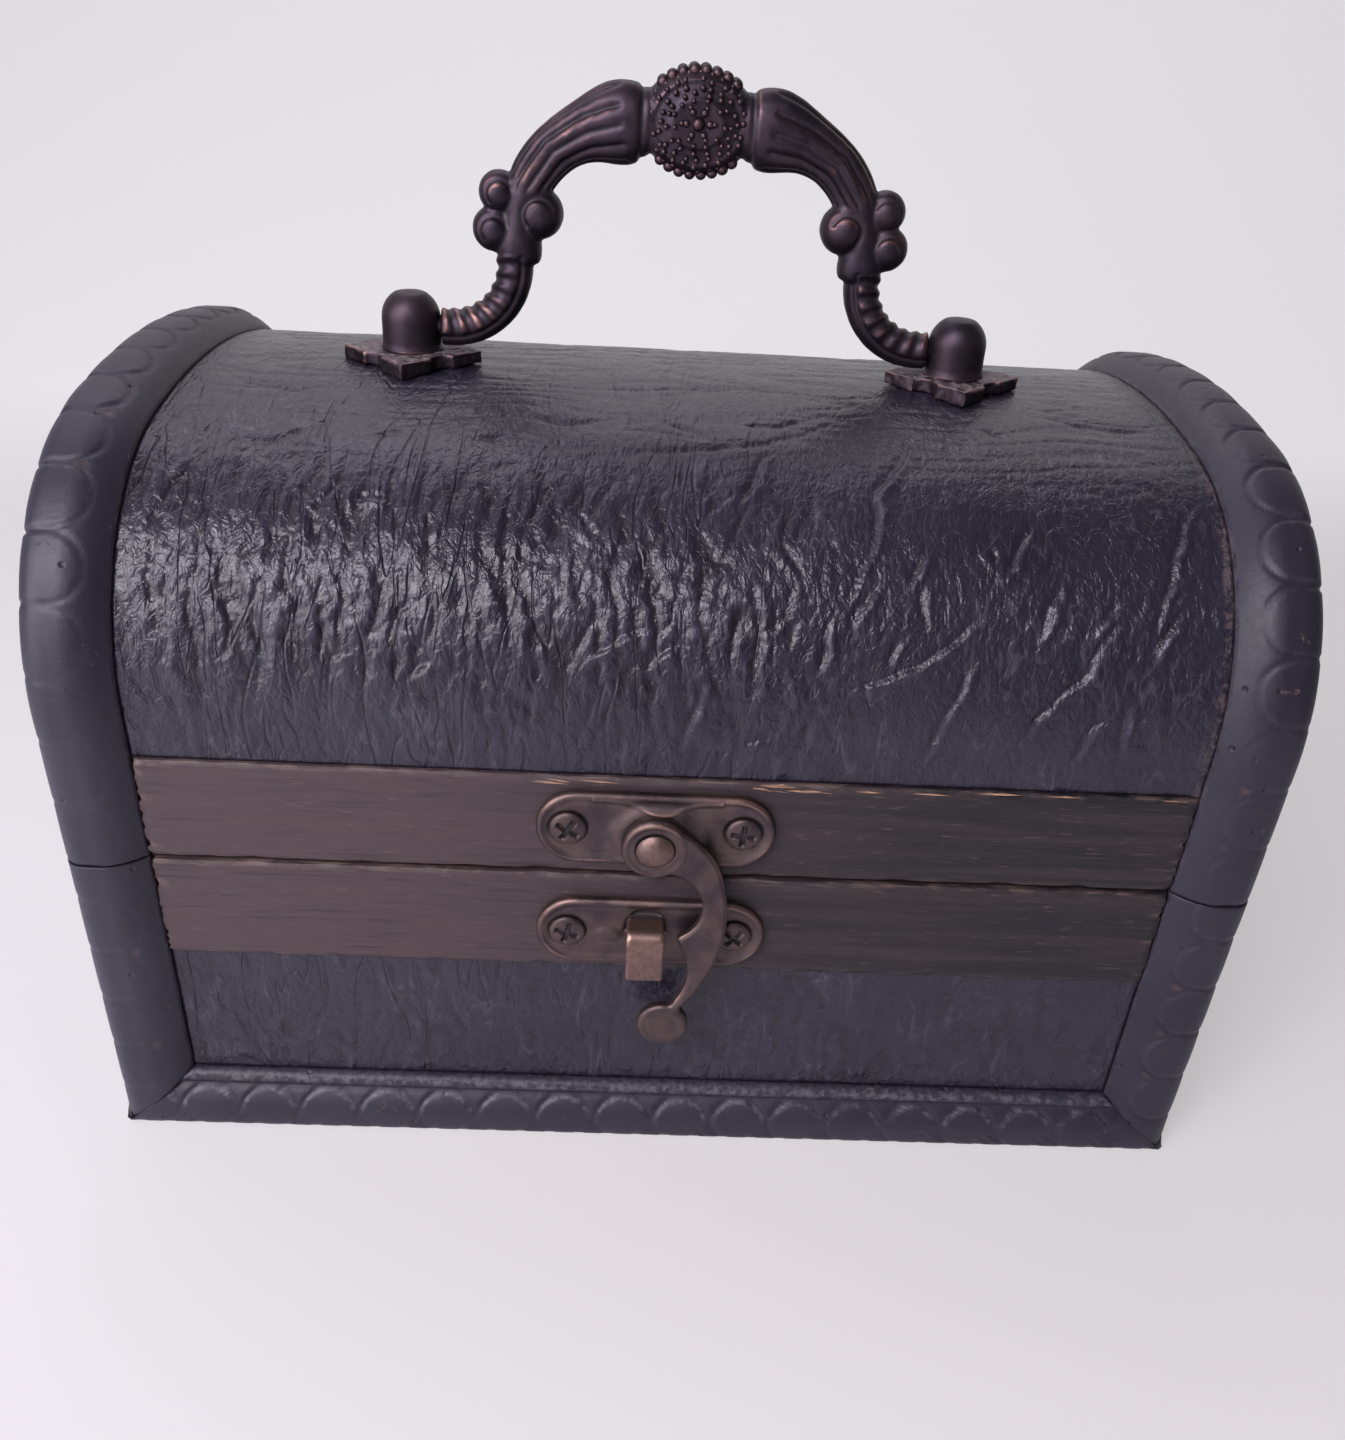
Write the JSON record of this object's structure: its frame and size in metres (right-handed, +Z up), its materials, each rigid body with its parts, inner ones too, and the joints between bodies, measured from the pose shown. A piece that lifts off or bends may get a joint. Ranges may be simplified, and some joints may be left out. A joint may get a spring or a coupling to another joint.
{
  "type": "treasure chest box",
  "caption": "Small domed chest in dark leatherette with embossed edge mouldings, stained wood bands, a swing latch, hinged lid and folding cast carrying handle.",
  "frame": {"origin": "centre of the underside, on the surface that the box stands on", "axes": "+X along the length to the right of someone facing the latch, +Y to the back with the hinges, +Z up"},
  "size_m": [0.15, 0.1037, 0.1347],
  "materials": {
    "leatherette": "creased and satin, blue black",
    "moulding": "embossed, dark stain worn to brown",
    "band": "dark brown stain with open grain",
    "board": "plain stained inside",
    "bronze": "antique dark bronze rubbed bright on its edges"
  },
  "bodies": {
    "base": {"base_back_band": "band", "base_back_leather": "leatherette", "base_back_left_stile": "moulding", "base_back_right_stile": "moulding", "base_back_trim": "moulding", "base_back_wall": "board", "base_floor": "board", "base_front_band": "band", "base_front_leather": "leatherette", "base_front_left_stile": "moulding", "base_front_right_stile": "moulding", "base_front_trim": "moulding", "base_front_wall": "board", "base_hinge_screws": "bronze", "base_left_end": "board", "base_left_leather": "leatherette", "base_left_trim": "moulding", "base_right_end": "board", "base_right_leather": "leatherette", "base_right_trim": "moulding", "keeper_plate": "bronze", "keeper_plate_screws": "bronze", "left_hinge_base_leaf": "bronze", "left_hinge_pin": "bronze", "right_hinge_base_leaf": "bronze", "right_hinge_pin": "bronze"},
    "lid": {"hook_plate": "bronze", "hook_plate_screws": "bronze", "hook_rivet": "bronze", "left_hinge_lid_leaf": "bronze", "lid_back_band": "band", "lid_back_rail": "board", "lid_dome": "board", "lid_front_band": "band", "lid_front_rail": "board", "lid_hinge_screws": "bronze", "lid_leather": "leatherette", "lid_left_arch": "moulding", "lid_left_end": "board", "lid_left_leather": "leatherette", "lid_right_arch": "moulding", "lid_right_end": "board", "lid_right_leather": "leatherette", "right_hinge_lid_leaf": "bronze", "handle_left_foot": "bronze", "handle_left_post": "bronze", "handle_right_foot": "bronze", "handle_right_post": "bronze", "handle_screws": "bronze"},
    "hook": {"latch_hook": "bronze"},
    "handle": {"handle_bail": "bronze"}
  },
  "joints": [
    {"name": "lid_hinge", "type": "hinge", "parent": "base", "child": "lid", "pos_m": [0, 0.04955, 0.04595], "axis": [-1, 0, 0], "range_deg": [0, 110]},
    {"name": "hook_swing", "type": "hinge", "parent": "lid", "child": "hook", "pos_m": [-0.00175, -0.04995, 0.0524], "axis": [0, -1, 0], "range_deg": [-15, 180]},
    {"name": "handle_swing", "type": "hinge", "parent": "lid", "child": "handle", "pos_m": [0, 0, 0.1018], "axis": [1, 0, 0], "range_deg": [-90, 90]}
  ]
}
